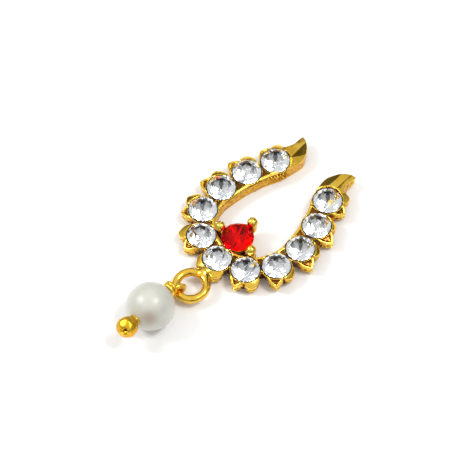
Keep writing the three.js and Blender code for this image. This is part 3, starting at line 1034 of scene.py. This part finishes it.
class Nodes:
    """A node tree. Numbers and colors pass between its nodes as output sockets."""

    def __init__(self, tree):
        self.tree = tree

    def node(self, kind, **settings):
        made = self.tree.nodes.new(kind)
        for key, value in settings.items():
            setattr(made, key, value)
        return made

    def link(self, start, end):
        self.tree.links.new(start, end)

    def feed(self, socket, value):
        """Links an output to an input, or sets the input to a plain number or color."""
        if isinstance(value, bpy.types.NodeSocket):
            self.link(value, socket)
        elif socket.type == "RGBA":
            socket.default_value = (*value, 1)
        else:
            socket.default_value = value

    def height(self, place):
        """The upward part of a place or a direction."""
        made = self.node("ShaderNodeSeparateXYZ")
        self.link(place, made.inputs["Vector"])
        return made.outputs["Z"]

    def ramp(self, factor, stops, interpolation="LINEAR"):
        """A color from stops in rising order, each a position and a color."""
        made = self.node("ShaderNodeValToRGB")
        made.color_ramp.interpolation = interpolation
        elements = made.color_ramp.elements
        stops = list(stops)
        elements[0].position = stops[0][0]
        elements[1].position = stops[-1][0]
        for position, _ in stops[1:-1]:
            elements.new(position)
        for element, (_, color) in zip(elements, stops):
            element.color = (*color, 1)
        self.link(factor, made.inputs["Fac"])
        return made.outputs["Color"]

    def fade(self, value, start, end, low=0.0, high=1.0, interpolation="SMOOTHSTEP"):
        """A number that goes from low to high as the value goes from start to end."""
        made = self.node("ShaderNodeMapRange", interpolation_type=interpolation)
        made.inputs["From Min"].default_value = start
        made.inputs["From Max"].default_value = end
        made.inputs["To Min"].default_value = low
        made.inputs["To Max"].default_value = high
        self.link(value, made.inputs["Value"])
        return made.outputs["Result"]

    def range(self, factor, low, high):
        return self.fade(factor, 0.0, 1.0, low, high, "LINEAR")

    def multiply(self, first, second):
        made = self.node("ShaderNodeMath", operation="MULTIPLY")
        self.link(first, made.inputs[0])
        self.feed(made.inputs[1], second)
        return made.outputs[0]

    def mix_numbers(self, share, start, end):
        made = self.node("ShaderNodeMix", data_type="FLOAT")
        self.link(share, made.inputs[0])
        self.link(start, made.inputs[2])
        self.feed(made.inputs[3], end)
        return made.outputs[0]

    def mix_colors(self, share, start, end):
        made = self.node("ShaderNodeMix", data_type="RGBA")
        self.link(share, made.inputs[0])
        self.link(start, made.inputs[6])
        self.feed(made.inputs[7], end)
        return made.outputs[2]


class Finish(Nodes):
    """A material's node tree, with one Principled shader."""

    def __init__(self, name, **values):
        self.material = bpy.data.materials.new(name)
        self.material.use_nodes = True
        super().__init__(self.material.node_tree)
        self.shader = self.tree.nodes["Principled BSDF"]
        for socket, value in values.items():
            self.shader.inputs[socket.replace("_", " ")].default_value = value
        self.place = self.node("ShaderNodeTexCoord").outputs["Object"]

    def shade(self, socket, value):
        """Links an output to one of the shader's inputs."""
        self.link(value, self.shader.inputs[socket])

    def noise(self, size, detail=3.0, roughness=0.55):
        """Noise whose features are about this many millimetres wide."""
        made = self.node("ShaderNodeTexNoise")
        made.inputs["Scale"].default_value = 1 / (size * MM)
        made.inputs["Detail"].default_value = detail
        made.inputs["Roughness"].default_value = roughness
        self.link(self.place, made.inputs["Vector"])
        return made.outputs["Fac"]

    def bump(self, height, depth):
        """Bump from a height of 0 to 1 that is this many millimetres deep."""
        made = self.node("ShaderNodeBump")
        made.inputs["Distance"].default_value = depth * MM
        self.link(height, made.inputs["Height"])
        return made.outputs["Normal"]


def patchy(name, size, colors, spread=0.2, **values):
    """A material that varies between two close colors, in patches of this many millimetres.

    The spread is how far from the noise's middle each color is reached.
    """
    finish = Finish(name, **values)
    stops = zip((0.5 - spread, 0.5 + spread), colors)
    finish.shade("Base Color", finish.ramp(finish.noise(size), stops))
    return finish.material


# The gilt's colors: pairs of a darker and a lighter one for its patches, on tops and on walls, the
# casting's walls darker as painted shade;
# then the painted shade at the walls' feet, the painted highlight on convex edges and the painted
# shade in recesses
top_gilt = [(0.84, 0.48, 0.04), (0.96, 0.65, 0.1)]
shaded_wall_gilt = [(0.46, 0.2, 0.02), (0.86, 0.49, 0.05)]
wire_top_gilt = [(0.6, 0.32, 0.012), (0.74, 0.45, 0.025)]
wire_gilt = [(0.6, 0.26, 0.012), (0.84, 0.44, 0.03)]
floor_shade_gilt = (0.3, 0.11, 0.008)
edge_highlight_color = (1.0, 0.68, 0.1)
recess_shade_color = (0.18, 0.065, 0.015)


def wall_color(finish, colors):
    """Gritty, with painted shade that darkens it towards the floor."""
    grit = finish.noise(0.24, detail=3.0, roughness=0.6)
    # Painted shade: darker in the lowest half millimetre, next to the floor.
    low = finish.fade(finish.height(finish.place), 0.5 * MM, 0.0, high=0.6)
    return finish.mix_colors(low, finish.ramp(grit, zip((0.36, 0.56), colors)), floor_shade_gilt)


def painted_edge_light_and_recess_shade(finish, color):
    """A painted highlight, paler, on convex edges, and painted shade, dark, in recesses."""
    recess = finish.node("ShaderNodeAttribute", attribute_name="recess").outputs["Fac"]
    # Painted highlight: a paler color where little is solid round a point, on convex edges.
    edge_lit = finish.mix_colors(finish.fade(recess, 0.42, 0.28), color, edge_highlight_color)
    # Painted shade: a dark color where much is solid round a point, in recesses.
    return finish.mix_colors(finish.fade(recess, 0.51, 0.63), edge_lit, recess_shade_color)


def gilt(name, top_colors, wall_colors, top_roughness, wall_roughness):
    """Yellow gilt: polished where it faces up and rougher on the walls, where the casting also
    gets painted shade in a deeper color.
    """
    finish = Finish(name, Metallic=1.0)
    normal = finish.node("ShaderNodeNewGeometry").outputs["Normal"]
    on_wall = finish.fade(finish.height(normal), 0.15, 0.75, 1.0, 0.0)
    top = finish.ramp(finish.noise(0.9, detail=4.0), zip((0.3, 0.7), top_colors))
    # The walls' colors; the casting's are darker there, as painted shade.
    color = finish.mix_colors(on_wall, top, wall_color(finish, wall_colors))
    finish.shade("Base Color", painted_edge_light_and_recess_shade(finish, color))
    smear = finish.range(finish.noise(0.35), top_roughness - 0.06, top_roughness + 0.06)
    finish.shade("Roughness", finish.mix_numbers(on_wall, smear, wall_roughness))
    pits = finish.multiply(finish.noise(0.09, detail=2.0), finish.range(on_wall, 0.1, 1.0))
    finish.shade("Normal", finish.bump(pits, 0.02))
    return finish.material


def clear_crown():
    colors = [(0.97, 0.98, 1.0), (1.0, 1.0, 0.99)]
    return patchy("clear_crown", 1.4, colors, Roughness=0.0, IOR=1.37, Transmission_Weight=1.0)


def silver_foil():
    colors = [(0.86, 0.88, 0.9), (0.96, 0.97, 0.97)]
    return patchy("silver_foil", 0.6, colors, spread=0.15, Metallic=1.0, Roughness=0.04)


def red_crown():
    return patchy(
        "red_crown",
        1.2,
        [(0.93, 0.003, 0.001), (1.0, 0.008, 0.003)],
        Roughness=0.0,
        IOR=1.22,
        Transmission_Weight=1.0,
        Specular_IOR_Level=0.1,
    )


def red_foil():
    colors = [(0.95, 0.2, 0.14), (1.0, 0.3, 0.2)]
    return patchy("red_foil", 0.6, colors, spread=0.15, Metallic=1.0, Roughness=0.12)


def nacre():
    """Silvery white, with a painted reflection: a soft warm brown spot on the side towards the
    camera.
    """
    finish = Finish(
        "nacre",
        IOR=1.53,
        Coat_Weight=1.0,
        Coat_Roughness=0.44,
        Subsurface_Weight=0.15,
        Subsurface_Scale=0.6 * MM,
    )
    cloud = finish.noise(1.8, detail=5.0, roughness=0.6)
    color = finish.ramp(cloud, [(0.3, (0.52, 0.52, 0.45)), (0.7, (0.62, 0.62, 0.55))])
    from_reflection = finish.node("ShaderNodeVectorMath", operation="DISTANCE")
    finish.link(finish.place, from_reflection.inputs[0])
    # Painted reflection: a soft warm brown spot below the pearl's middle, on the side towards the
    # camera.
    from_reflection.inputs[1].default_value = (pearl_centre + direction(40, 27) * pearl_radius) * MM
    reflection_share = finish.fade(from_reflection.outputs["Value"], 1.1 * MM, 0.1 * MM, high=0.75)
    finish.shade("Base Color", finish.mix_colors(reflection_share, color, (0.34, 0.26, 0.18)))
    finish.shade("Roughness", finish.range(finish.noise(0.5), 0.3, 0.42))
    finish.shade("Normal", finish.bump(finish.noise(0.22, detail=4.0), 0.012))
    return finish.material


# Studio


def stand(name, data, azimuth, elevation, distance):
    """Puts a camera or a light in a direction from the picture's middle, looking back at it."""
    away = direction(azimuth, elevation)
    made = bpy.data.objects.new(name, data)
    made.location = (view_centre + away * distance) * MM
    made.rotation_mode = "QUATERNION"
    made.rotation_quaternion = (-away).to_track_quat("-Z", "Y")
    bpy.context.scene.collection.objects.link(made)
    return made


def make_camera():
    """The photo's view, with colors as they are: Blender's AgX view would pale the gilt."""
    data = bpy.data.cameras.new("camera")
    data.sensor_width = sensor_width
    data.lens = sensor_width * view_distance * pixels_per_mm / photo_pixels
    data.clip_start = view_distance * MM / 10
    data.clip_end = view_distance * MM * 10
    camera = stand("camera", data, view_azimuth, view_elevation, view_distance)
    bpy.context.scene.camera = camera
    bpy.context.scene.view_settings.view_transform = "Standard"


def make_floor():
    half = floor_half_width * MM
    corners = [(-half, -half, 0), (half, -half, 0), (half, half, 0), (-half, half, 0)]
    mesh = bpy.data.meshes.new("floor")
    mesh.from_pydata(corners, [], [(0, 1, 2, 3)])
    floor = add_object("floor", mesh)
    dress(floor, patchy("paper", 30, [(0.93,) * 3, (0.95,) * 3], spread=0.1, Roughness=0.9))


def make_light(name, azimuth, elevation):
    data = bpy.data.lights.new(name, "AREA")
    data.shape = "SQUARE"
    data.size = light_size * MM
    data.energy = light_power
    stand(name, data, azimuth, elevation, light_distance)


def make_world():
    """A bright room, darker at the horizon and in a few patches."""
    world = bpy.data.worlds.new("studio")
    bpy.context.scene.world = world
    world.use_nodes = True
    room = Nodes(world.node_tree)
    place = room.node("ShaderNodeTexCoord").outputs["Generated"]
    height = room.fade(room.height(place), -1.0, 1.0, interpolation="LINEAR")
    brightest = max(value for _, value in room_heights)
    stops = [((sine + 1) / 2, (value / brightest,) * 3) for sine, value in room_heights]
    brightness = room.multiply(room.ramp(height, stops, "EASE"), brightest)
    for azimuth, elevation, half_width, patch_brightness in room_patches:
        facing = room.node("ShaderNodeVectorMath", operation="DOT_PRODUCT")
        facing.inputs[1].default_value = direction(azimuth, elevation)
        room.link(place, facing.inputs[0])
        edge = math.cos(math.radians(half_width * 1.4))
        core = math.cos(math.radians(half_width * 0.6))
        share = room.fade(facing.outputs["Value"], edge, core)
        brightness = room.mix_numbers(share, brightness, patch_brightness)
    background = room.tree.nodes["Background"]
    background.inputs["Color"].default_value = (1, 1, 1, 1)
    room.link(brightness, background.inputs["Strength"])


make_camera()
make_floor()
make_light("key", azimuth=-55, elevation=45)
make_light("fill", azimuth=120, elevation=65)
make_world()
make_casting(gilt("gilt_casting", top_gilt, shaded_wall_gilt, top_roughness=0.15, wall_roughness=0.23))
make_round_stones(clear_crown(), silver_foil())
make_pear_stone(red_crown(), red_foil())
make_head_pin(gilt("gilt_wire", wire_top_gilt, wire_gilt, top_roughness=0.34, wall_roughness=0.34))
make_pearl(nacre())
